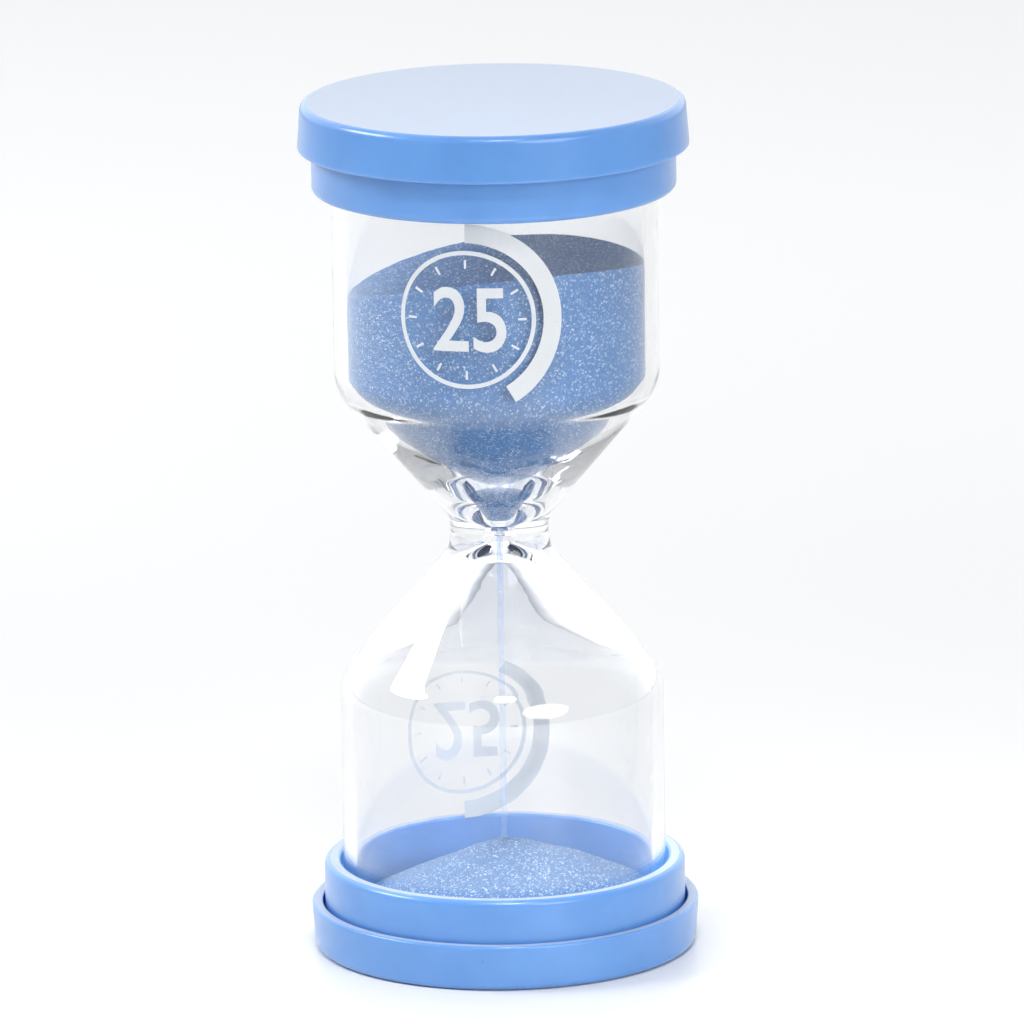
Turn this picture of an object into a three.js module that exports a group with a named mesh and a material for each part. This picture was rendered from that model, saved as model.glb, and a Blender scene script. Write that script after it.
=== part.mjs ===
// A reversible sand timer: two clear funnel bulbs bonded at the neck, each closed by a plug and held
// by a foam pad inside a two-step plastic cap. Millimetres, +Z up, origin at the centre of the bottom
// face. About a fifth of the sand has run through.
import * as THREE from "three";

// ---------- driving dimensions ----------
const GAP = 0.3; // clearance between pieces that touch
const SEGMENTS = 48; // facets round the caps and the bulbs
const INNER_SEGMENTS = 32; // facets round the enclosed pieces

// The wide cover, a shallow dish. Heights run inwards from its outer face.
const COVER = { radius: 25, faceRadius: 24.65, height: 6, floor: 1.5, faceEdge: 1.0, lipEdge: 0.4 };
// The collar, a sleeve that snaps into the cover and surrounds the bulb's end.
const COLLAR = { radius: 23.3, bore: 21.25, height: 11.5, edge: 0.9 };
const SNAP = { bead: 0.55, height: 0.9, fromFace: 3.2 }; // the collar's bead and the cover's groove
const PAD = { radius: 20.6, lower: 0.8, upper: 2.3 }; // the foam under the bulbs, and over them
const PLUG = {
  flangeRadius: 20.85,
  flange: 1.0,
  bossRadius: 18.75,
  boss: 1.1,
  recessRadius: 16.5,
  skin: 1.2,
};

// A bulb half. Heights run from the neck plane to the open end.
const BULB = { radius: 20.85, bore: 19.15, length: 50.55 };
const WAIST = { radius: 6.3, cornerRadius: 6.7, height: 2.4 }; // the bonding boss round the neck
const OUTER_CONE = { shoulderHeight: 19.04, fillet: 6.4 };
// A funnel's slope is the radius gained per millimetre of height: a cone round the throat, in the
// upper half a slightly flatter ring at ringRadius, then easing until it follows the outer cone.
const UPPER_FUNNEL = {
  core: 1.02,
  coreUntil: 7.2,
  ring: 1.155,
  ringRadius: 8.8,
  wall: 0.87,
  wallFrom: 15.5,
  fillet: 4.5,
};
const LOWER_FUNNEL = {
  core: 1.02,
  coreUntil: 7.2,
  ring: 1.02,
  ringRadius: 14.0,
  wall: 0.87,
  wallFrom: 17.5,
  fillet: 5.4,
};
const THROAT = { radius: 1.2, height: 1.5 };
const WEB = { top: 0.75, orifice: 0.45 }; // the thin web across the throat that meters the sand
const BOND = 0.15; // half of the gap between the two necks

// The sand.
const UPPER_SAND = { rimHeight: 34.6, craterDepth: 7.0, craterRound: 3.0 }; // heights above the neck plane
const LOWER_SAND = { peak: 14.2, wall: 6.9, peakRound: 3.0 }; // heights above the bottom face
const STREAM = { top: 0.35, foot: 0.22 }; // radii

// ---------- derived heights ----------
// They are counted inwards from a cap's outer face.
const plugFace = (pad) => COVER.floor + pad + 2 * GAP; // where the plug begins
const bulbEnd = (pad) => plugFace(pad) + PLUG.flange + GAP; // where the bulb begins
const NECK_Z = bulbEnd(PAD.lower) + BULB.length;
const TOTAL_HEIGHT = NECK_Z + BULB.length + bulbEnd(PAD.upper);

// ---------- materials ----------
const capPlastic = new THREE.MeshStandardMaterial({ color: 0x5f97e0, roughness: 0.28, metalness: 0 });
const innerPlastic = new THREE.MeshStandardMaterial({ color: 0x5f97e0, roughness: 0.45, metalness: 0 });
const clearPlastic = new THREE.MeshStandardMaterial({
  color: 0xf4f7fb,
  roughness: 0.03,
  metalness: 0,
  transparent: true,
  opacity: 0.25,
});
const foam = new THREE.MeshStandardMaterial({ color: 0xeef0f2, roughness: 0.95, metalness: 0 });
const sand = new THREE.MeshStandardMaterial({ color: 0x5a86c4, roughness: 0.7, metalness: 0.1 });

// ---------- helpers ----------
// Points on an arc round (r, z), angles in degrees from the outward radius towards +Z.
function arc(r, z, radius, fromDeg, toDeg, steps) {
  return Array.from({ length: steps + 1 }, (_, i) => {
    const angle = THREE.MathUtils.degToRad(fromDeg + ((toDeg - fromDeg) * i) / steps);
    return [r + radius * Math.cos(angle), z + radius * Math.sin(angle)];
  });
}

// The arc of a given radius that rounds the corner between a cone rising outwards and a cylinder.
// coneAngle is the cone's slant from the axis in degrees; the arc runs from the cone to the cylinder.
function shoulder(cylinderRadius, cornerZ, coneAngle, fillet, steps) {
  const centreZ = cornerZ + fillet * Math.tan(THREE.MathUtils.degToRad(coneAngle / 2));
  return arc(cylinderRadius - fillet, centreZ, fillet, -coneAngle, 0, steps);
}

// Revolves a profile of [radius, height] points, given anticlockwise, round Z. A ring closes on itself.
function revolve(name, profile, material, segments, isRing) {
  const points = isRing ? [...profile, profile[0]] : profile;
  const geometry = new THREE.LatheGeometry(
    points.map(([r, z]) => new THREE.Vector2(r, z)),
    segments,
  );
  geometry.rotateX(Math.PI / 2);
  const mesh = new THREE.Mesh(geometry, material);
  mesh.name = name;
  return mesh;
}

const atHeight = (mesh, z) => {
  mesh.position.z = z;
  return mesh;
};

// ---------- the cap ----------
function makeCover(name) {
  const { radius, faceRadius, height, floor, faceEdge, lipEdge } = COVER;
  const wall = COLLAR.radius + GAP; // the skirt's inner wall
  const groove = wall + SNAP.bead;
  const profile = [
    [0, 0],
    ...arc(faceRadius - faceEdge, faceEdge, faceEdge, -90, 0, 3),
    ...arc(radius - lipEdge, height - lipEdge, lipEdge, 0, 90, 3),
    [wall, height],
    [wall, SNAP.fromFace + SNAP.height + GAP],
    [groove, SNAP.fromFace + SNAP.height],
    [groove, SNAP.fromFace],
    [wall, SNAP.fromFace - GAP],
    [wall, floor],
    [0, floor],
  ];
  return revolve(name, profile, capPlastic, SEGMENTS, false);
}

function makeCollar(name) {
  const { radius, bore, height, edge } = COLLAR;
  const foot = COVER.floor + GAP;
  const bead = radius + SNAP.bead;
  const profile = [
    [bore, foot],
    [radius, foot],
    [radius, SNAP.fromFace],
    [bead, SNAP.fromFace + GAP],
    [bead, SNAP.fromFace + SNAP.height - GAP],
    [radius, SNAP.fromFace + SNAP.height],
    ...arc(radius - edge, height - edge, edge, 0, 90, 4),
    [bore, height],
  ];
  return revolve(name, profile, capPlastic, SEGMENTS, true);
}

function makePad(name, thickness) {
  const profile = [
    [0, 0],
    [PAD.radius, 0],
    [PAD.radius, thickness],
    [0, thickness],
  ];
  return revolve(name, profile, foam, INNER_SEGMENTS, false);
}

function makePlug(name) {
  const top = PLUG.flange + PLUG.boss;
  const profile = [
    [0, top - PLUG.skin],
    [PLUG.recessRadius, top - PLUG.skin],
    [PLUG.recessRadius, 0],
    [PLUG.flangeRadius, 0],
    [PLUG.flangeRadius, PLUG.flange],
    [PLUG.bossRadius, PLUG.flange],
    [PLUG.bossRadius, top],
    [0, top],
  ];
  return revolve(name, profile, innerPlastic, INNER_SEGMENTS, false);
}

// One end's cap, standing on its outer face, with everything that is stacked in it.
function makeEnd(prefix, padThickness) {
  const end = new THREE.Group();
  end.add(
    makeCover(prefix + "_cover"),
    makeCollar(prefix + "_collar"),
    atHeight(makePad(prefix + "_foam_pad", padThickness), COVER.floor + GAP),
    atHeight(makePlug(prefix + "_plug"), plugFace(padThickness)),
  );
  return end;
}

// ---------- the bulb ----------
const outerSlant = THREE.MathUtils.radToDeg(
  Math.atan((BULB.radius - WAIST.cornerRadius) / (OUTER_CONE.shoulderHeight - WAIST.height)),
);

// A funnel's slope at a radius.
function funnelSlope(radius, { core, coreUntil, ring, ringRadius, wall, wallFrom }) {
  const { lerp, clamp } = THREE.MathUtils;
  if (radius < ringRadius) {
    return lerp(core, ring, clamp((radius - coreUntil) / (ringRadius - coreUntil), 0, 1));
  }
  return lerp(ring, wall, clamp((radius - ringRadius) / (wallFrom - ringRadius), 0, 1));
}

// The inside of the throat and the funnel, up to the bore. Heights run from the neck plane.
function funnelPoints(funnel) {
  const { coreUntil, ringRadius, wall, wallFrom, fillet } = funnel;
  const slant = THREE.MathUtils.radToDeg(Math.atan(wall));
  const bend = (wallFrom - ringRadius) / 3;
  const radii = [coreUntil, ringRadius, ringRadius + bend, ringRadius + 2 * bend, wallFrom];
  const points = [[THROAT.radius, THROAT.height]];
  const climbTo = (radius) => {
    const [from, z] = points.at(-1);
    return [radius, z + (radius - from) / funnelSlope((radius + from) / 2, funnel)];
  };
  for (const radius of radii) points.push(climbTo(radius));
  const [, cornerZ] = climbTo(BULB.bore);
  return [...points, ...shoulder(BULB.bore, cornerZ, slant, fillet, 4)];
}

// A profile that rises outwards, moved by a distance away from the wall and into the bulb.
function movedInwards(profile, distance) {
  return profile.map(([r, z], i) => {
    const [r0, z0] = profile[Math.max(0, i - 1)];
    const [r1, z1] = profile[Math.min(profile.length - 1, i + 1)];
    const scale = distance / Math.hypot(r1 - r0, z1 - z0);
    return [r - (z1 - z0) * scale, z + (r1 - r0) * scale];
  });
}

// The waist is slightly hollow: its radius grows with the square of the height.
function waistPoints(steps) {
  return Array.from({ length: steps + 1 }, (_, i) => {
    const share = i / steps;
    const radius = WAIST.radius + (WAIST.cornerRadius - WAIST.radius) * share ** 2;
    return [radius, BOND + (WAIST.height - BOND) * share];
  });
}

// The upper half also carries the web, and the flatter ring in its funnel.
function makeBulbHalf(name, isUpper) {
  const web = [
    [THROAT.radius, WEB.top],
    [WEB.orifice, WEB.top],
    [WEB.orifice, BOND],
  ];
  const profile = [
    ...(isUpper ? web : [[THROAT.radius, BOND]]),
    ...waistPoints(3),
    ...shoulder(BULB.radius, OUTER_CONE.shoulderHeight, outerSlant, OUTER_CONE.fillet, 5),
    [BULB.radius, BULB.length],
    [BULB.bore, BULB.length],
    ...funnelPoints(isUpper ? UPPER_FUNNEL : LOWER_FUNNEL).reverse(),
  ];
  return revolve(name, profile, clearPlastic, SEGMENTS, true);
}

// ---------- the sand ----------
function makeUpperSand(name) {
  const { rimHeight, craterDepth, craterRound } = UPPER_SAND;
  const wall = BULB.bore - GAP;
  const floorZ = rimHeight - craterDepth;
  const craterSlope = craterDepth / wall;
  const throat = THROAT.radius - GAP;
  const profile = [
    [0, WEB.top + GAP],
    [throat, WEB.top + GAP],
    [throat, THROAT.height],
    ...movedInwards(funnelPoints(UPPER_FUNNEL), GAP).slice(1),
    [wall, rimHeight],
    [craterRound, floorZ + craterSlope * craterRound],
    [0, floorZ + (craterSlope * craterRound) / 2],
  ];
  return revolve(name, profile, sand, INNER_SEGMENTS, false);
}

function makeLowerSand(name) {
  const wall = BULB.bore - GAP;
  const floorZ = plugFace(PAD.lower) + PLUG.flange + PLUG.boss + GAP;
  const slope = (LOWER_SAND.peak - LOWER_SAND.wall) / wall;
  const profile = [
    [0, floorZ],
    [wall, floorZ],
    [wall, LOWER_SAND.wall],
    [LOWER_SAND.peakRound, LOWER_SAND.peak - slope * LOWER_SAND.peakRound],
    [0, LOWER_SAND.peak - (slope * LOWER_SAND.peakRound) / 2],
  ];
  return revolve(name, profile, sand, INNER_SEGMENTS, false);
}

// The falling thread of sand, which thins as it speeds up.
function makeSandStream(name) {
  const headZ = NECK_Z + WEB.top;
  const footZ = LOWER_SAND.peak + GAP;
  const profile = [
    [0, footZ],
    [STREAM.foot, footZ],
    [STREAM.top, NECK_Z - BOND],
    [STREAM.top, headZ],
    [0, headZ],
  ];
  return revolve(name, profile, sand, 8, false);
}

// ---------- assembly ----------
const timer = new THREE.Group();

const bottomEnd = makeEnd("bottom", PAD.lower);
const topEnd = makeEnd("top", PAD.upper);
topEnd.position.z = TOTAL_HEIGHT;
topEnd.rotation.x = Math.PI;

const upperBulb = atHeight(makeBulbHalf("upper_bulb", true), NECK_Z);
const lowerBulb = atHeight(makeBulbHalf("lower_bulb", false), NECK_Z);
lowerBulb.rotation.x = Math.PI;

timer.add(
  bottomEnd,
  topEnd,
  upperBulb,
  lowerBulb,
  atHeight(makeUpperSand("upper_sand"), NECK_Z),
  makeLowerSand("lower_sand"),
  makeSandStream("sand_stream"),
);

export default timer;
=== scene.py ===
import math
import random

import bmesh
import bpy
import numpy as np
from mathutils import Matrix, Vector


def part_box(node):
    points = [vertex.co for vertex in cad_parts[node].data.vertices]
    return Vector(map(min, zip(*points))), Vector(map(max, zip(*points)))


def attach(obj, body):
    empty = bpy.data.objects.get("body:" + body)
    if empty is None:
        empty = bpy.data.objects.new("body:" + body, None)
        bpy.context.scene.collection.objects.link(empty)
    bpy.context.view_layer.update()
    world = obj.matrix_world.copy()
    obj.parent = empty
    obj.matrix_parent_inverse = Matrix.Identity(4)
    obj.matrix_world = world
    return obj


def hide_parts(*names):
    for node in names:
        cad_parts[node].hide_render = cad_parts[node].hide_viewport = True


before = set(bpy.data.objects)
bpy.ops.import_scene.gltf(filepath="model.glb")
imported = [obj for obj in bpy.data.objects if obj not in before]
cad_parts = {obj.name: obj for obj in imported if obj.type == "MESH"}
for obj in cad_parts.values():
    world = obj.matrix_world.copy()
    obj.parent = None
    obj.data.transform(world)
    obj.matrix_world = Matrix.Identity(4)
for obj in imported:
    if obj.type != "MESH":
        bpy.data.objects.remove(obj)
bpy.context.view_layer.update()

# ---------- sizes, in millimetres, read from the frame where it holds them ----------
MM = 0.001


def node_box(node):
    """A CAD node's lowest and highest corners in millimetres."""
    low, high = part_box(node)
    return low / MM, high / MM


HEIGHT = node_box("top_cover")[1].z
COVER_RADIUS = node_box("bottom_cover")[1].x
COVER_HEIGHT = node_box("bottom_cover")[1].z
COLLAR_FOOT, COLLAR_TOP = (corner.z for corner in node_box("bottom_collar"))
BULB_RADIUS = node_box("lower_bulb")[1].x
BULB_END = node_box("lower_bulb")[0].z
NECK_Z = (node_box("lower_bulb")[1].z + node_box("upper_bulb")[0].z) / 2
BULB_LENGTH = NECK_Z - BULB_END
PLUG_TOP = node_box("bottom_plug")[1].z

COVER = {
    "face_radius": COVER_RADIUS - 0.35, "floor": 1.5,
    "face_edge": 1.0, "lip_edge": 0.35, "inner_lip": 0.2, "corner": 0.3,
}
COLLAR = {"radius": 23.3, "bore": 21.25, "edge": 0.8, "inner_edge": 0.35}
SNAP = {"bead": 0.55, "height": 0.9, "from_face": 3.2, "slope": 0.3}
CLEARANCE = 0.3
SUPPORT = 0.3  # a rounded edge's long faces get a point this close to it, which keeps them flat
CAP_SEGMENTS = 192
BULB_SEGMENTS = 256

WAIST = {"radius": 6.3, "corner_radius": 6.7, "height": 2.4, "corner": 0.5}
OUTER_CONE = {"shoulder_height": 19.04, "fillet": 6.4}
# The funnels' insides. A slope is the radius gained per millimetre of height: a cone round the
# throat, in the upper half a slightly flatter ring at ring_radius, then easing until it follows
# the outer cone.
UPPER_FUNNEL = {
    "core": 1.02, "core_until": 7.2, "ring": 1.155, "ring_radius": 8.8,
    "wall": 0.87, "wall_from": 15.5, "fillet": 4.5,
}
LOWER_FUNNEL = {
    "core": 1.02, "core_until": 7.2, "ring": 1.02, "ring_radius": 14.0,
    "wall": 0.87, "wall_from": 17.5, "fillet": 5.4,
}
BULB_BORE = 19.15
THROAT = {"radius": 1.2, "height": 1.5, "lip": 0.35}
ORIFICE = {"radius": 0.45, "web_low": 0.0, "web_high": 0.75, "edge": 0.12}

SAND_GAP = 0.12  # air between the grains and the bulb's wall
GRAIN = 0.2
# The sand still to run. plain_wall and rim are heights above the neck: its side is even up to
# plain_wall, and its rim rises to the right and to the front.
UPPER_PILE = {
    "plain_wall": 26.0, "rim": 34.55, "rise_right": 2.0, "rise_front": 1.1, "saddle": 1.0,
    "crater": 7.0, "crater_power": 1.15, "ripple": 0.25,
}
# The growing pile: a blunt cone, and a broad shoulder on its right.
LOWER_PILE = {
    "peak": 14.35, "slope": 0.41, "blunt": 1.7, "lean": 0.035, "edge": 0.45, "ripple": 0.12,
    "shoulder": 0.9, "shoulder_x": 10, "shoulder_y": -1, "shoulder_width": 5, "shoulder_depth": 7,
}
TABLE = {"radius": 760, "back": 240}  # round, and pushed back from the timer
STREAM = {"radius": 0.4, "flare": 0.02, "ragged": 0.05, "least": 0.2, "most": 0.42, "thins_over": 14.0}


# ---------- outlines ----------
def arc(radius, height, size, start, end, steps):
    """Points (radius, height) on an arc, its angles in degrees from outward towards up."""
    angles = [math.radians(start + (end - start) * i / steps) for i in range(steps + 1)]
    return [(radius + size * math.cos(a), height + size * math.sin(a)) for a in angles]


def bend(before, corner, after, shares):
    """A smooth bend between two points beside a corner, at shares of its way."""
    return [
        tuple((1 - t) ** 2 * a + 2 * t * (1 - t) * b + t * t * c for a, b, c in zip(before, corner, after))
        for t in shares
    ]


def shoulder(wall, corner_height, slant, fillet, steps):
    """The arc that rounds the corner between a cone, slant degrees off the axis, and a wall."""
    centre = corner_height + fillet * math.tan(math.radians(slant / 2))
    return arc(wall - fillet, centre, fillet, -slant, 0, steps)


def flipped(outline, middle):
    """The outline turned over about a height, still listed anticlockwise."""
    return [(r, 2 * middle - z) for r, z in reversed(outline)]


def subdivided(outline, longest):
    """The outline with extra points, so that no step is longer than longest."""
    points = [outline[0]]
    for a, b in zip(outline, outline[1:]):
        parts = max(1, math.ceil(math.dist(a, b) / longest))
        points += [
            (a[0] + (b[0] - a[0]) * i / parts, a[1] + (b[1] - a[1]) * i / parts)
            for i in range(1, parts + 1)
        ]
    return points


# ---------- meshes ----------
def mesh_piece(name, points, faces, sharp_angle=35):
    """An object from points in millimetres, smooth except where its faces meet sharply."""
    mesh = bpy.data.meshes.new(name)
    mesh.from_pydata([tuple(c * MM for c in p) for p in points], [], faces)
    mesh.update()
    mesh.polygons.foreach_set("use_smooth", [True] * len(mesh.polygons))
    mesh.set_sharp_from_angle(angle=math.radians(sharp_angle))
    piece = bpy.data.objects.new(name, mesh)
    bpy.context.scene.collection.objects.link(piece)
    return piece


def lathe(name, outline, segments, ring=False, sharp_angle=35):
    """Revolves an anticlockwise outline; one that isn't a ring starts and ends on the axis."""
    points, rows = [], []
    for r, z in outline:
        if r < 1e-6:
            rows.append([len(points)] * segments)
            points.append((0, 0, z))
            continue
        rows.append([len(points) + i for i in range(segments)])
        for i in range(segments):
            angle = 2 * math.pi * i / segments
            points.append((r * math.cos(angle), r * math.sin(angle), z))
    pairs = list(zip(rows, rows[1:] + rows[:1])) if ring else list(zip(rows, rows[1:]))
    faces = []
    for low, high in pairs:
        for i in range(segments):
            j = (i + 1) % segments
            corners = [low[i], low[j], high[j], high[i]]
            faces.append(tuple(dict.fromkeys(corners)))
    return mesh_piece(name, points, faces, sharp_angle)


# ---------- materials ----------
class Shader:
    """The node tree of a material, or of a world that is given as owner. An input that is another
    node's output is linked, and any other is set."""

    def __init__(self, name, owner=None):
        self.owner = owner or bpy.data.materials.new(name)
        self.owner.use_nodes = True
        self.tree = self.owner.node_tree
        self.tree.nodes.clear()

    def add(self, kind, inputs=None, **settings):
        node = self.tree.nodes.new("ShaderNode" + kind)
        for key, value in settings.items():
            setattr(node, key, value)
        for key, value in (inputs or {}).items():
            if isinstance(value, bpy.types.NodeSocket):
                self.tree.links.new(value, node.inputs[key])
            else:
                node.inputs[key].default_value = value
        return node

    def place(self):
        """The object's own coordinates, in millimetres."""
        where = self.add("TexCoord").outputs["Object"]
        return self.add("VectorMath", {0: where, 3: 1 / MM}, operation="SCALE").outputs[0]

    def noise(self, scale, detail=2.0, roughness=0.5, vector=None):
        vector = self.place() if vector is None else vector
        inputs = {"Vector": vector, "Scale": scale, "Detail": detail, "Roughness": roughness}
        return self.add("TexNoise", inputs)

    def ramp(self, factor, low, high, to_low=0.0, to_high=1.0):
        """factor from low..high to to_low..to_high, smooth and clamped."""
        inputs = {0: factor, 1: low, 2: high, 3: to_low, 4: to_high}
        return self.add("MapRange", inputs, interpolation_type="SMOOTHSTEP").outputs[0]

    def mix(self, factor, a, b):
        """A colour between a and b."""
        node = self.add("Mix", data_type="RGBA")
        for index, value in ((0, factor), (6, a), (7, b)):
            if isinstance(value, bpy.types.NodeSocket):
                self.tree.links.new(value, node.inputs[index])
            else:
                node.inputs[index].default_value = value
        return node.outputs[2]

    def maths(self, operation, a, b=0.0):
        return self.add("Math", {0: a, 1: b}, operation=operation).outputs[0]

    def bump(self, height, distance_mm, normal=None):
        inputs = {"Height": height, "Distance": distance_mm * MM, "Strength": 1.0}
        if normal is not None:
            inputs["Normal"] = normal
        return self.add("Bump", inputs).outputs[0]

    def finish(self, shader):
        self.add("OutputMaterial", {"Surface": shader})
        return self.owner


def colour(red, green, blue):
    return (red, green, blue, 1.0)


def cap_plastic():
    """Blue moulded plastic, satin on its sides and finely spark-eroded on its flat faces, whose pale
    colour is a painted reflection.
    """
    s = Shader("cap_plastic")
    cloud = s.noise(0.12, 3.0).outputs["Fac"]
    pigment = s.mix(s.ramp(cloud, 0.3, 0.7), colour(0.112, 0.292, 0.665), colour(0.127, 0.318, 0.71))
    specks = s.add("TexVoronoi", {"Vector": s.place(), "Scale": 0.35}).outputs["Distance"]
    dirt = s.ramp(specks, 0.03, 0.06, 1.0, 0.0)
    tint = s.mix(s.maths("MULTIPLY", dirt, 0.35), pigment, colour(0.05, 0.12, 0.4))
    normal = s.add("NewGeometry").outputs["Normal"]
    upright = s.add("SeparateXYZ", {0: normal}).outputs["Z"]
    flat = s.ramp(s.maths("ABSOLUTE", upright), 0.985, 0.999)
    grain = s.noise(5.0, 4.0, 0.7).outputs["Fac"]
    # The flat faces' pale colour is a painted reflection of the white studio seen at a grazing angle;
    # their spark-eroded texture is real, in roughness and bump.
    painted_reflection = s.mix(s.ramp(grain, 0.3, 0.7), colour(0.36, 0.44, 0.59), colour(0.41, 0.49, 0.635))
    tint = s.mix(flat, tint, painted_reflection)
    waves = s.noise(0.25, 2.0).outputs["Fac"]
    mottle = s.maths("MULTIPLY", s.maths("SUBTRACT", grain, 0.5), 0.12)
    satin = s.ramp(flat, 0.0, 1.0, 0.24, 0.5)
    relief = s.bump(s.maths("MULTIPLY", grain, s.ramp(flat, 0.0, 1.0, 0.06, 1.0)), 0.03)
    relief = s.bump(waves, 0.05, relief)
    plastic = s.add(
        "BsdfPrincipled",
        {
            "Base Color": tint,
            "Roughness": s.maths("ADD", satin, mottle),
            "Normal": relief,
            "IOR": 1.49,
            "Coat Weight": 0.4,
            "Coat Roughness": 0.3,
            "Subsurface Weight": 0.12,
            "Subsurface Radius": (0.4, 0.9, 2.4),
            "Subsurface Scale": 0.001,
        },
    )
    return s.finish(plastic.outputs[0])


def clear_plastic():
    """Clear moulded plastic. Light for shadows passes it, as a clear wall throws next to none."""
    s = Shader("clear_bulb")
    waves = s.noise(0.18, 2.0).outputs["Fac"]
    smears = s.noise(0.5, 5.0, 0.65).outputs["Fac"]
    glass = s.add(
        "BsdfPrincipled",
        {
            "Base Color": colour(0.955, 0.96, 0.97),
            "Roughness": s.ramp(smears, 0.55, 0.8, 0.0, 0.03),
            "Normal": s.bump(waves, 0.012),
            "IOR": 1.59,
            "Transmission Weight": 1.0,
        },
    )
    clear = s.add("BsdfTransparent", {"Color": colour(0.93, 0.94, 0.95)})
    shadow = s.add("LightPath").outputs["Is Shadow Ray"]
    both = s.add("MixShader", {0: shadow, 1: glass.outputs[0], 2: clear.outputs[0]})
    return s.finish(both.outputs[0])


def sand(name, dark, light, painted_glint_share):
    """Fine dyed sand: each grain has its own tone, many are a little brighter, and a few glitter grains
    carry a painted glint.
    """
    s = Shader(name)
    cells = s.add("TexVoronoi", {"Vector": s.place(), "Scale": 1 / GRAIN})
    grains = s.add("SeparateColor", {0: cells.outputs["Color"]})
    fines = s.noise(7.0, 2.0, 0.6).outputs["Fac"]
    drift = s.noise(0.12, 3.0).outputs["Fac"]
    shade = s.maths("MULTIPLY", grains.outputs[0], 0.45)
    shade = s.maths("ADD", shade, s.maths("MULTIPLY", drift, 0.25))
    shade = s.maths("ADD", shade, s.maths("MULTIPLY", fines, 0.3))
    body = s.mix(shade, dark, light)
    pale = s.ramp(grains.outputs[1], 0.75, 1.0, 0.0, 0.5)
    # A few grains are painted near-white: the glitter flakes are real, their shine is a painted glint.
    painted_glint = s.ramp(grains.outputs[2], 1 - painted_glint_share, 1 - painted_glint_share / 2, 0.0, 0.65)
    tint = s.mix(s.maths("MAXIMUM", pale, painted_glint), body, colour(0.72, 0.83, 0.92))
    grit = s.bump(cells.outputs["Distance"], 0.1)
    shader = s.add(
        "BsdfPrincipled",
        {
            "Base Color": tint,
            "Roughness": s.ramp(grains.outputs[0], 0.0, 1.0, 0.45, 0.85),
            "Normal": grit,
            "Specular IOR Level": 0.5,
        },
    )
    return s.finish(shader.outputs[0])


def falling_sand():
    """The thread of falling grains, which lets the light through between them."""
    s = Shader("falling_sand")
    place = s.place()
    stretched = s.add("Mapping", {"Vector": place, "Scale": (3.0, 3.0, 0.8)}).outputs[0]
    grains = s.noise(1.6, 3.0, 0.7, stretched).outputs["Fac"]
    height = s.add("SeparateXYZ", {0: place}).outputs["Z"]
    thinning = s.ramp(height, NECK_Z - STREAM["thins_over"], NECK_Z, 0.15, 0.32)
    cover = s.maths("MULTIPLY", thinning, s.ramp(grains, 0.3, 0.7, 0.5, 1.3))
    shader = s.add(
        "BsdfPrincipled",
        {
            "Base Color": s.mix(grains, colour(0.2, 0.38, 0.72), colour(0.45, 0.6, 0.85)),
            "Roughness": 0.8,
            "Alpha": cover,
        },
    )
    return s.finish(shader.outputs[0])


def print_ink():
    """White screen-printing ink, thin enough to glow a little from behind."""
    s = Shader("print_ink")
    pinholes = s.noise(4.0, 3.0, 0.6).outputs["Fac"]
    ink = s.mix(s.ramp(pinholes, 0.25, 0.45), colour(0.7, 0.74, 0.78), colour(0.8, 0.83, 0.86))
    surface = s.add(
        "BsdfPrincipled",
        {
            "Base Color": ink,
            "Roughness": s.ramp(pinholes, 0.3, 0.7, 0.35, 0.5),
            "Normal": s.bump(pinholes, 0.01),
        },
    )
    through = s.add("BsdfTranslucent", {"Color": ink})
    both = s.add("MixShader", {0: 0.2, 1: surface.outputs[0], 2: through.outputs[0]})
    return s.finish(both.outputs[0])


def foam():
    """Closed-cell foam sheet."""
    s = Shader("foam")
    cells = s.add("TexVoronoi", {"Vector": s.place(), "Scale": 2.2}).outputs["Distance"]
    shade = s.mix(cells, colour(0.8, 0.81, 0.83), colour(0.62, 0.63, 0.66))
    shader = s.add(
        "BsdfPrincipled",
        {
            "Base Color": shade,
            "Roughness": s.ramp(cells, 0.0, 1.0, 0.85, 1.0),
            "Normal": s.bump(cells, 0.15),
        },
    )
    return s.finish(shader.outputs[0])


# ---------- the caps ----------
def cover_outline():
    """The cover as a dish that opens upwards, with a slightly drafted skirt."""
    floor, face_radius = COVER["floor"], COVER["face_radius"]
    face, lip = COVER["face_edge"], COVER["lip_edge"]
    inner_lip, corner = COVER["inner_lip"], COVER["corner"]
    wall = COLLAR["radius"] + CLEARANCE
    groove = wall + SNAP["bead"]
    low, high = SNAP["from_face"], SNAP["from_face"] + SNAP["height"]
    skirt = [
        (face_radius + 0.03, face + SUPPORT + 0.1),
        (COVER_RADIUS - 0.02, COVER_HEIGHT - lip - SUPPORT),
    ]
    return [
        (0, 0),
        (face_radius / 2, 0),
        (face_radius - face - SUPPORT / 2, 0),
        *arc(face_radius - face, face, face, -90, 0, 8),
        *subdivided(skirt, 1.5),
        *arc(COVER_RADIUS - lip, COVER_HEIGHT - lip, lip, 0, 90, 6),
        *arc(wall + inner_lip, COVER_HEIGHT - inner_lip, inner_lip, 90, 180, 4),
        (wall, high + SNAP["slope"]),
        (groove, high),
        (groove, low),
        (wall, low - SNAP["slope"]),
        *arc(wall - corner, floor + corner, corner, 0, -90, 4),
        (wall / 2, floor),
        (0, floor),
    ]


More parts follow.
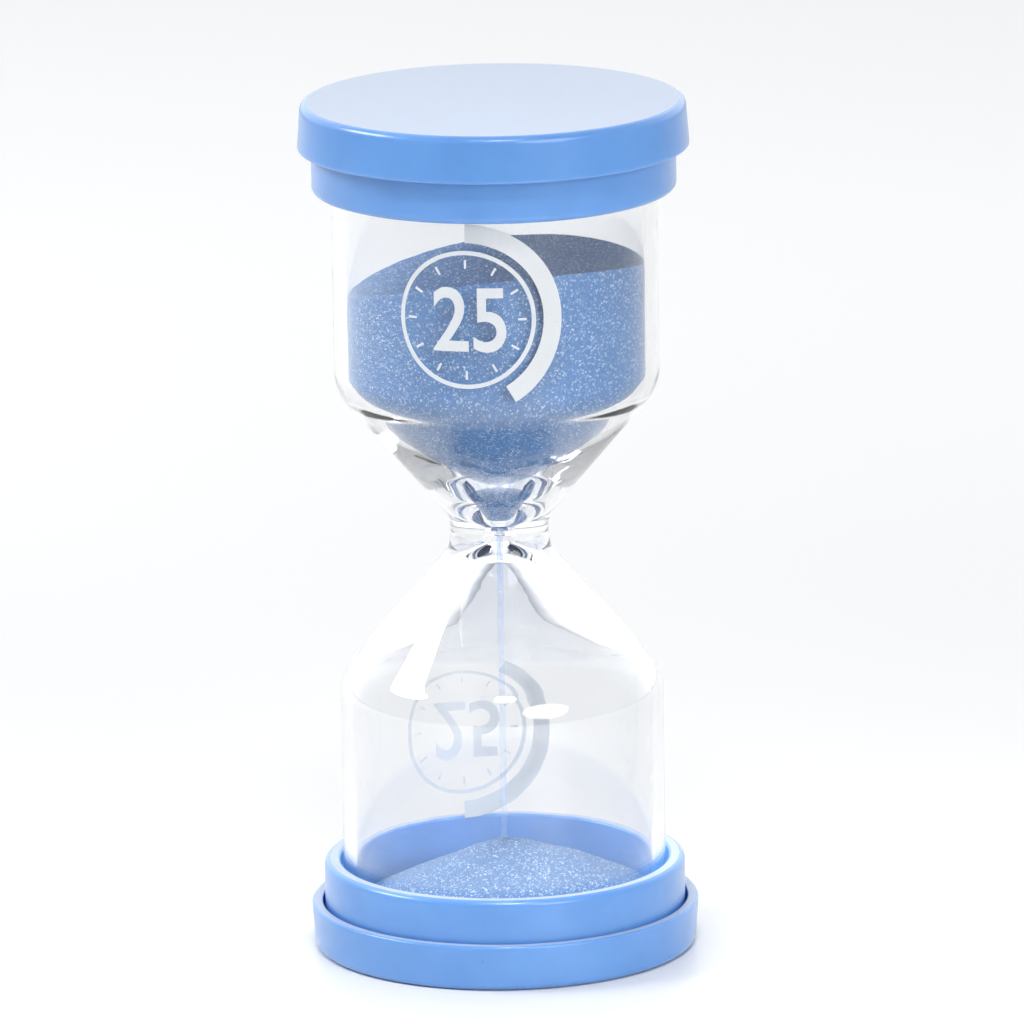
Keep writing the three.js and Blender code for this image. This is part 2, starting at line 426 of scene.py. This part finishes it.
def collar_outline():
    """The collar as a sleeve with the snap bead round its foot."""
    radius, bore = COLLAR["radius"], COLLAR["bore"]
    edge, inner_edge = COLLAR["edge"], COLLAR["inner_edge"]
    bead = radius + SNAP["bead"]
    low, high = SNAP["from_face"], SNAP["from_face"] + SNAP["height"]
    side = [(radius, high + SUPPORT + 0.1), (radius, COLLAR_TOP - edge - SUPPORT)]
    return [
        (bore, COLLAR_FOOT),
        (radius, COLLAR_FOOT),
        (radius, low),
        (bead, low + SNAP["slope"]),
        (bead, high - SNAP["slope"]),
        (radius, high),
        *subdivided(side, 1.5),
        *arc(radius - edge, COLLAR_TOP - edge, edge, 0, 90, 8),
        *arc(bore + inner_edge, COLLAR_TOP - inner_edge, inner_edge, 90, 180, 5),
        (bore, COLLAR_TOP - 2.0),
        (bore, COLLAR_FOOT + 1.0),
    ]


def build_cap(prefix, plastic, top):
    """The finely rounded shells of one cap, in place of the faceted ones."""
    shells = (("cover", cover_outline(), False), ("collar", collar_outline(), True))
    for part, outline, ring in shells:
        if top:
            outline = flipped(outline, HEIGHT / 2)
        piece = lathe(f"{prefix}_{part}_moulding", outline, CAP_SEGMENTS, ring)
        piece.data.materials.append(plastic)
        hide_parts(f"{prefix}_{part}")
        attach(piece, "root")


# ---------- the bulbs ----------
OUTER_SLANT = math.degrees(
    math.atan2(BULB_RADIUS - WAIST["corner_radius"], OUTER_CONE["shoulder_height"] - WAIST["height"])
)


def funnel_slope(radius, funnel):
    """Radius gained per millimetre of height inside the funnel."""
    radii = (funnel["core_until"], funnel["ring_radius"], funnel["wall_from"])
    return float(np.interp(radius, radii, (funnel["core"], funnel["ring"], funnel["wall"])))


def funnel_points(step, funnel):
    """The funnel's inside from the throat to where it would meet the bore."""
    count = math.ceil((BULB_BORE - THROAT["radius"]) / step)
    width = (BULB_BORE - THROAT["radius"]) / count
    points = [(THROAT["radius"], THROAT["height"])]
    for i in range(count):
        radius, height = points[-1]
        points.append((radius + width, height + width / funnel_slope(radius + width / 2, funnel)))
    return points


def outer_half():
    """The bulb's outside from the neck, at height 0, to its open end."""
    growth = WAIST["corner_radius"] - WAIST["radius"]
    share = 1 - WAIST["corner"] / WAIST["height"]
    waist = [
        (WAIST["radius"] + growth * (share * i / 8) ** 2, WAIST["height"] * share * i / 8)
        for i in range(9)
    ]
    run = WAIST["corner"] * math.tan(math.radians(OUTER_SLANT))
    after = (WAIST["corner_radius"] + run, WAIST["height"] + WAIST["corner"])
    corner = (WAIST["corner_radius"], WAIST["height"])
    turn = bend(waist[-1], corner, after, (0.2, 0.4, 0.6, 0.8, 1.0))
    rise = shoulder(BULB_RADIUS, OUTER_CONE["shoulder_height"], OUTER_SLANT, OUTER_CONE["fillet"], 14)
    return subdivided(waist + turn + rise + [(BULB_RADIUS, BULB_LENGTH)], 1.2)


def moved_inwards(points, gap):
    """The inside outline moved by gap off the wall, into the bulb."""
    moved = []
    for i, (r, z) in enumerate(points):
        (r0, z0), (r1, z1) = points[max(0, i - 1)], points[min(len(points) - 1, i + 1)]
        length = math.hypot(r1 - r0, z1 - z0)
        moved.append((r - gap * (z1 - z0) / length, z + gap * (r1 - r0) / length))
    return moved


def inner_half(gap=0.0, funnel=UPPER_FUNNEL):
    """A bulb half's inside from the neck's plane to its open end, or a shape that clears it by gap."""
    radius, height, lip = THROAT["radius"], THROAT["height"], THROAT["lip"]
    cone = funnel_points(0.25, funnel)
    corner = cone[-1][1]
    slant = math.degrees(math.atan(funnel["wall"]))
    rise = shoulder(BULB_BORE, corner, slant, funnel["fillet"], 12)
    straight = [p for p in cone if height + lip < p[1] < rise[0][1] - 0.1]
    after = (radius + lip * funnel["core"], height + lip)
    turn = bend((radius, height - lip), (radius, height), after, (0.0, 0.25, 0.5, 0.75, 1.0))
    outline = [(radius, 0.0)] + turn + straight + rise + [(BULB_BORE, BULB_LENGTH)]
    outline = subdivided(outline, 1.2)
    return moved_inwards(outline, gap) if gap else outline


def build_bulbs(clear):
    """Both halves and their bonded neck as the one clear body that light sees."""
    outer, upper_inner = outer_half(), inner_half()
    hole, edge = ORIFICE["radius"], ORIFICE["edge"]
    web_low, web_high = ORIFICE["web_low"], ORIFICE["web_high"]
    below = [(r, -z) for r, z in reversed(outer[1:])]
    above_inside = [p for p in reversed(upper_inner) if p[1] > web_high + 0.2]
    lower_inner = inner_half(funnel=LOWER_FUNNEL)
    below_inside = [(r, -z) for r, z in lower_inner if -z < web_low - 0.2]
    web = [
        (THROAT["radius"], web_high),
        *arc(hole + edge, web_high - edge, edge, 90, 180, 3),
        *arc(hole + edge, web_low + edge, edge, 180, 270, 3),
        (THROAT["radius"], web_low),
    ]
    rows = below + outer + above_inside + web + below_inside
    outline = [(r, NECK_Z + z) for r, z in rows]
    bulb = lathe("clear_bulbs", outline, BULB_SEGMENTS, ring=True, sharp_angle=50)
    bulb.data.materials.append(clear)
    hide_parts("upper_bulb", "lower_bulb")
    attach(bulb, "root")


# ---------- the sand ----------
def sand_body(name, wall, surface, segments, rings, seed):
    """A solid of sand. wall is its outline from the bottom to the rim, and surface(x, y) is the height
    of its free surface, which the last stretch of wall is cut to. Its skin is grainy."""
    rng = np.random.default_rng(seed)
    angles = np.linspace(0, 2 * math.pi, segments, endpoint=False)
    rows = []
    rim_radius = wall[-1][0]
    rim = np.array([surface(rim_radius * math.cos(a), rim_radius * math.sin(a)) for a in angles])
    foot = wall[-2][1]
    for r, z in wall[:-1]:
        rows.append((np.full(segments, r), np.full(segments, z)))
    climbs = max(2, int((rim.max() - foot) / GRAIN))
    for i in range(1, climbs + 1):
        rows.append((np.full(segments, rim_radius), foot + (rim - foot) * i / climbs))
    for i in range(1, rings):
        r = rim_radius * (1 - i / rings)
        heights = np.array([surface(r * math.cos(a), r * math.sin(a)) for a in angles])
        rows.append((np.full(segments, r), heights))
    points, faces = [], []
    first_free = len(wall) - 1 + climbs
    for index, (r, z) in enumerate(rows):
        grain = rng.random(segments)
        if index < first_free:
            r = r - GRAIN * 0.35 * grain * np.minimum(1, r / 3)
        else:
            z = z + GRAIN * 0.5 * (grain - 0.5) * np.minimum(1, r / 0.5)
        points += list(zip(r * np.cos(angles), r * np.sin(angles), z))
    bottom, top = len(points), len(points) + 1
    points.append((0, 0, wall[0][1]))
    points.append((0, 0, surface(0, 0)))
    for row in range(len(rows) - 1):
        for i in range(segments):
            j = (i + 1) % segments
            a, b = row * segments, (row + 1) * segments
            faces.append((a + i, a + j, b + j, b + i))
    last = (len(rows) - 1) * segments
    for i in range(segments):
        j = (i + 1) % segments
        faces.append((bottom, j, i))
        faces.append((last + i, last + j, top))
    return mesh_piece(name, points, faces, 180)


def ripple(x, y, seed):
    """Gentle unevenness of a poured surface, about -1 to 1."""
    waves = random.Random(seed)
    total = 0.0
    for _ in range(6):
        turn, length, shift = waves.uniform(0, math.pi), waves.uniform(5, 14), waves.uniform(0, 6.28)
        total += math.sin((x * math.cos(turn) + y * math.sin(turn)) * 6.28 / length + shift)
    return total / 4


def upper_surface(x, y):
    """The sand still to run: high at the front and right, with a crater over the neck."""
    pile = UPPER_PILE
    reach = BULB_BORE - SAND_GAP
    u, v = x / reach, y / reach
    rim = NECK_Z + pile["rim"] + pile["rise_right"] * u - pile["rise_front"] * v
    rim -= pile["saddle"] * (u * u - v * v)
    share = min(1.0, math.hypot(u, v))
    crater = pile["crater"] * (1 - share) ** pile["crater_power"]
    return rim - crater + pile["ripple"] * ripple(x, y, 3) * (1 - share * share)


def lower_surface(x, y):
    """The growing pile, no thinner than its edge on the plug."""
    pile = LOWER_PILE
    cone = pile["peak"] - pile["slope"] * math.hypot(x, y, pile["blunt"])
    aside = (x - pile["shoulder_x"]) / pile["shoulder_width"]
    along = (y - pile["shoulder_y"]) / pile["shoulder_depth"]
    hump = pile["shoulder"] * math.exp(-(aside ** 2) - along ** 2)
    height = cone + hump + pile["lean"] * x + pile["ripple"] * ripple(x, y, 8)
    return max(PLUG_TOP + pile["edge"], height)


def build_sand():
    web_top = ORIFICE["web_high"] + SAND_GAP
    inside = [p for p in inner_half(SAND_GAP) if p[1] > web_top]
    inside = [(0.5, web_top), (inside[0][0], web_top)] + inside
    wall = [(r, NECK_Z + z) for r, z in subdivided(inside, GRAIN * 1.4)]
    in_bulb = [p for p in wall if p[1] < NECK_Z + UPPER_PILE["plain_wall"]]
    upper_wall = in_bulb + [(in_bulb[-1][0], NECK_Z + UPPER_PILE["rim"])]
    upper = sand_body("upper_sand_grains", upper_wall, upper_surface, 420, 72, seed=11)
    reach = BULB_BORE - SAND_GAP
    base = PLUG_TOP + SAND_GAP
    lower_wall = [(reach * 0.5, base), (reach - 0.3, base), (reach, base + 0.2), (reach, base + 1.0)]
    lower = sand_body("lower_sand_grains", lower_wall, lower_surface, 420, 76, seed=12)
    thread = sand_thread()
    # Both halves hold the same sand: these two sets of tones and glint shares are lit and shaded copies of
    # it, so their difference is painted light and shade.
    upper_look = sand("upper_sand", colour(0.026, 0.117, 0.32), colour(0.106, 0.288, 0.61), 0.02)
    lower_look = sand("lower_sand", colour(0.04, 0.112, 0.27), colour(0.138, 0.27, 0.505), 0.03)
    for piece, look, node in (
        (upper, upper_look, "upper_sand"),
        (lower, lower_look, "lower_sand"),
        (thread, falling_sand(), "sand_stream"),
    ):
        piece.data.materials.append(look)
        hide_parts(node)
        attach(piece, "root")


def sand_thread():
    """The falling stream, ragged where it loosens on its way down."""
    rng = np.random.default_rng(21)
    top, foot = NECK_Z + ORIFICE["web_high"], lower_surface(0, 0) + 0.15
    rows = 220
    outline = []
    for i in range(rows + 1):
        share = i / rows
        ragged = STREAM["ragged"] * rng.standard_normal() * (1 - share ** 6)
        radius = max(STREAM["least"], STREAM["radius"] + STREAM["flare"] * share ** 8 + ragged)
        if share > 0.9:
            radius = min(STREAM["most"], radius)
        outline.append((radius, foot + (top - foot) * share))
    return lathe("sand_thread", [(0, foot), *outline, (0, top)], 16, sharp_angle=180)


# ---------- the dial printed on the bulbs ----------
DIAL = {"x": -3.8, "z": 86.8, "radius": 8.9, "line": 0.55}
TICK = {"from_ring": 1.2, "length": 1.1, "width": 0.3}
ARC_BAND = {"from_ring": 1.0, "width": 2.4, "end": 150}
NUMBER = {"text": "25", "width": 9.4, "height": 8.4, "aside": 0.4, "cell": 0.6}
BACK_DIAL = {"turn": -1.8, "rise": 0.9}  # the lower print's offset round the bulb and up it
INK = {"lift": 0.015, "thickness": 0.03}


def wrap(u, v, depth, on_back):
    """A point of the flat print laid on the bulb's wall; on the back it is turned over."""
    radius = BULB_RADIUS + INK["lift"] + depth
    angle = (u + (BACK_DIAL["turn"] if on_back else 0.0)) / BULB_RADIUS
    x, y, z = radius * math.sin(angle), -radius * math.cos(angle), v
    return (x, -y, 2 * NECK_Z - z + BACK_DIAL["rise"]) if on_back else (x, y, z)


def printed_sheet(points, faces, on_back):
    """Vertices and outward faces of a thin closed layer over a flat mesh."""
    count = len(points)
    edges = {}
    for face in faces:
        for a, b in zip(face, face[1:] + face[:1]):
            edges[(a, b)] = edges.get((a, b), 0) + 1
    border = [(a, b) for a, b in edges if (b, a) not in edges]
    solid = [wrap(u, v, INK["thickness"], on_back) for u, v in points]
    solid += [wrap(u, v, 0.0, on_back) for u, v in points]
    layers = [tuple(face) for face in faces]
    layers += [tuple(i + count for i in reversed(face)) for face in faces]
    layers += [(a, a + count, b + count, b) for a, b in border]
    return solid, layers


def band(inner, outer, start, end, steps):
    """A flat ring or arc about the dial's centre, clockwise from twelve o'clock in degrees."""
    points, faces = [], []
    whole = abs(end - start) >= 360
    columns = steps if whole else steps + 1
    for i in range(columns):
        angle = math.radians(start + (end - start) * i / steps)
        for r in (inner, outer):
            points.append((DIAL["x"] + r * math.sin(angle), DIAL["z"] + r * math.cos(angle)))
    for i in range(steps):
        j = (i + 1) % columns
        faces.append((2 * i, 2 * i + 1, 2 * j + 1, 2 * j))
    return points, faces


def tick(hour):
    """A short mark just inside the dial's ring."""
    outer = DIAL["radius"] - TICK["from_ring"]
    half = math.degrees(TICK["width"] / 2 / (outer - 0.4))
    turn = 30 * hour
    return band(outer - TICK["length"], outer, turn - half, turn + half, 1)


def numerals():
    """The flat mesh of the dial's number."""
    curve = bpy.data.curves.new("numerals", "FONT")
    curve.body = NUMBER["text"]
    curve.align_x, curve.align_y = "CENTER", "CENTER"
    curve.size = 10.0
    curve.offset = 0.12
    curve.resolution_u = 6
    text = bpy.data.objects.new("numerals", curve)
    bpy.context.scene.collection.objects.link(text)
    bpy.context.view_layer.update()
    depsgraph = bpy.context.evaluated_depsgraph_get()
    flat = bpy.data.meshes.new_from_object(text.evaluated_get(depsgraph))
    bpy.data.objects.remove(text)
    bm = bmesh.new()
    bm.from_mesh(flat)
    bmesh.ops.remove_doubles(bm, verts=bm.verts, dist=1e-4)
    xs = [v.co.x for v in bm.verts]
    for cut in np.arange(math.floor(min(xs)), max(xs), NUMBER["cell"]):
        geometry = bm.verts[:] + bm.edges[:] + bm.faces[:]
        place = (float(cut), 0, 0)
        bmesh.ops.bisect_plane(bm, geom=geometry, plane_co=place, plane_no=(1, 0, 0), dist=1e-5)
    ys = [v.co.y for v in bm.verts]
    xs = [v.co.x for v in bm.verts]
    scale_x = NUMBER["width"] / (max(xs) - min(xs))
    scale_y = NUMBER["height"] / (max(ys) - min(ys))
    middle_x, middle_y = (max(xs) + min(xs)) / 2, (max(ys) + min(ys)) / 2
    left, base = DIAL["x"] + NUMBER["aside"], DIAL["z"]
    bm.verts.index_update()
    points = [
        (left + (v.co.x - middle_x) * scale_x, base + (v.co.y - middle_y) * scale_y)
        for v in bm.verts
    ]
    faces = []
    for face in bm.faces:
        corners = [v.index for v in face.verts]
        faces.append(tuple(corners if face.normal.z > 0 else reversed(corners)))
    bm.free()
    return points, faces


def facing(points, faces):
    """The flat faces, all turned to face out of the print."""
    turned = []
    for face in faces:
        area = 0.0
        for a, b in zip(face, face[1:] + face[:1]):
            area += points[a][0] * points[b][1] - points[b][0] * points[a][1]
        turned.append(face if area > 0 else tuple(reversed(face)))
    return turned


def build_dial(name, ink, on_back):
    """One bulb's whole print: ring, number, ticks and arc band."""
    radius, line = DIAL["radius"], DIAL["line"]
    shapes = [band(radius - line, radius, 0, 360, 120), numerals()]
    shapes += [tick(hour) for hour in range(12)]
    band_bore = radius + ARC_BAND["from_ring"]
    shapes.append(band(band_bore, band_bore + ARC_BAND["width"], 0, ARC_BAND["end"], 60))
    points, faces = [], []
    for flat_points, flat_faces in shapes:
        solid, layers = printed_sheet(flat_points, facing(flat_points, flat_faces), on_back)
        start = len(points)
        points += solid
        faces += [tuple(i + start for i in face) for face in layers]
    piece = mesh_piece(name, points, faces, 30)
    piece.data.materials.append(ink)
    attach(piece, "root")


# ---------- the parts that stay as the CAD made them ----------
def dress_hidden_parts(plastic):
    """Gives the plugs and the foam pads their materials."""
    pads = foam()
    for end in ("top", "bottom"):
        for node, look in ((f"{end}_plug", plastic), (f"{end}_foam_pad", pads)):
            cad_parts[node].data.materials.clear()
            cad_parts[node].data.materials.append(look)


# ---------- studio ----------
def build_floor():
    """The table: paper that turns whiter away from the timer, as painted shade near it and painted light
    far off.
    """
    s = Shader("studio_table")
    mottle = s.noise(0.02, 2.0).outputs["Fac"]
    reach = s.add("VectorMath", {0: s.place()}, operation="LENGTH").outputs["Value"]
    # Painted shade and light: the paper is darker where the lamps make a bright pool round the timer and
    # whiter where their light falls off.
    paper_with_painted_light = s.mix(s.ramp(reach, 60, 480), colour(0.79, 0.79, 0.79), colour(0.99, 0.99, 0.99))
    shade = s.mix(s.maths("MULTIPLY", mottle, 0.04), paper_with_painted_light, colour(0.7, 0.7, 0.7))
    shader = s.add("BsdfPrincipled", {"Base Color": shade, "Roughness": 0.35})
    rim = arc(0, TABLE["back"], TABLE["radius"], 0, 357, 119)
    floor = mesh_piece("studio_table", [(x, y, 0) for x, y in rim], [tuple(range(len(rim)))])
    floor.data.materials.append(s.finish(shader.outputs[0]))


def softbox(name, azimuth, elevation, distance, width, height, radiance):
    """An oval soft light. azimuth 0 is the camera's side, and turns to the right."""
    a, e = math.radians(azimuth), math.radians(elevation)
    towards = Vector((math.sin(a) * math.cos(e), -math.cos(a) * math.cos(e), math.sin(e)))
    light = bpy.data.lights.new(name, "AREA")
    light.shape, light.size, light.size_y = "ELLIPSE", width, height
    light.energy = radiance * math.pi * (math.pi * width * height / 4)
    lamp = bpy.data.objects.new(name, light)
    lamp.location = Vector((0, 0, HEIGHT / 2 * MM)) + towards * distance
    lamp.rotation_euler = towards.to_track_quat("Z", "Y").to_euler()
    bpy.context.scene.collection.objects.link(lamp)


def table_light():
    """A narrow lamp that whitens the table in front, which lights the lower cap from below."""
    light = bpy.data.lights.new("table_light", "AREA")
    light.shape, light.size = "DISK", 0.15
    light.spread = math.radians(45)
    light.energy = 0.25
    lamp = bpy.data.objects.new("table_light", light)
    away = Vector((0.0, -0.2, 0.6))  # from the lit part of the table towards the lamp
    lamp.location = (0.02, -0.37, 0.6)
    lamp.rotation_euler = away.to_track_quat("Z", "Y").to_euler()
    bpy.context.scene.collection.objects.link(lamp)


def build_world():
    """A white studio: a bright backdrop behind the timer, dimmer overhead and behind the camera."""
    world = bpy.data.worlds.new("studio")
    bpy.context.scene.world = world
    s = Shader("studio", owner=world)
    way = s.add("SeparateXYZ", {0: s.add("TexCoord").outputs["Generated"]})
    front = s.ramp(way.outputs["Y"], -0.9, 0.3, 0.3, 0.6)
    back = s.ramp(way.outputs["Y"], 0.15, 0.9, 0.0, 0.97)
    overhead = s.ramp(way.outputs["Z"], 0.4, 1.0, 1.0, 0.7)
    below = s.ramp(way.outputs["Z"], -0.06, 0.0, 0.22, 1.0)
    height = s.maths("MULTIPLY", overhead, below)
    strength = s.maths("MULTIPLY", s.maths("ADD", front, back), height)
    sky = s.add("Background", {"Color": colour(0.97, 0.985, 1.0), "Strength": strength})
    s.add("OutputWorld", {"Surface": sky.outputs[0]})


def build_camera():
    """A long lens a little above the timer, turned by the same slight roll as the view."""
    elevation, roll, distance = math.radians(13.41), math.radians(0.91), 1.4
    aside, above = 0.00162, 0.00144  # the aim point's offset from the timer's middle
    forward = Vector((0, math.cos(elevation), -math.sin(elevation)))
    level = Vector((1, 0, 0))
    upward = level.cross(forward)
    right = level * math.cos(roll) - upward * math.sin(roll)
    up = upward * math.cos(roll) + level * math.sin(roll)
    aim = Vector((0, 0, HEIGHT / 2 * MM)) + right * aside + up * above
    data = bpy.data.cameras.new("camera")
    data.lens, data.sensor_width = 383.2, 36.0
    data.clip_start, data.clip_end = 0.1, 20.0
    camera = bpy.data.objects.new("camera", data)
    bpy.context.scene.collection.objects.link(camera)
    matrix = camera.matrix_world.copy()
    for row in range(3):
        matrix[row][0], matrix[row][1], matrix[row][2] = right[row], up[row], -forward[row]
        matrix[row][3] = (aim - forward * distance)[row]
    camera.matrix_world = matrix
    bpy.context.scene.camera = camera


build_camera()
build_world()
build_floor()
softbox("key_light", azimuth=-92, elevation=40, distance=0.8, width=0.42, height=0.27, radiance=13.0)
softbox("front_light", azimuth=33, elevation=23, distance=0.8, width=0.45, height=0.45, radiance=5.0)
table_light()

caps = cap_plastic()
build_cap("bottom", caps, top=False)
build_cap("top", caps, top=True)
dress_hidden_parts(caps)
build_bulbs(clear_plastic())
build_sand()
white = print_ink()
build_dial("upper_dial_print", white, on_back=False)
build_dial("lower_dial_print", white, on_back=True)

bpy.context.scene.view_settings.view_transform = "Standard"
bpy.context.scene.cycles.max_bounces = 48
bpy.context.scene.cycles.transmission_bounces = 48
bpy.context.scene.cycles.glossy_bounces = 24
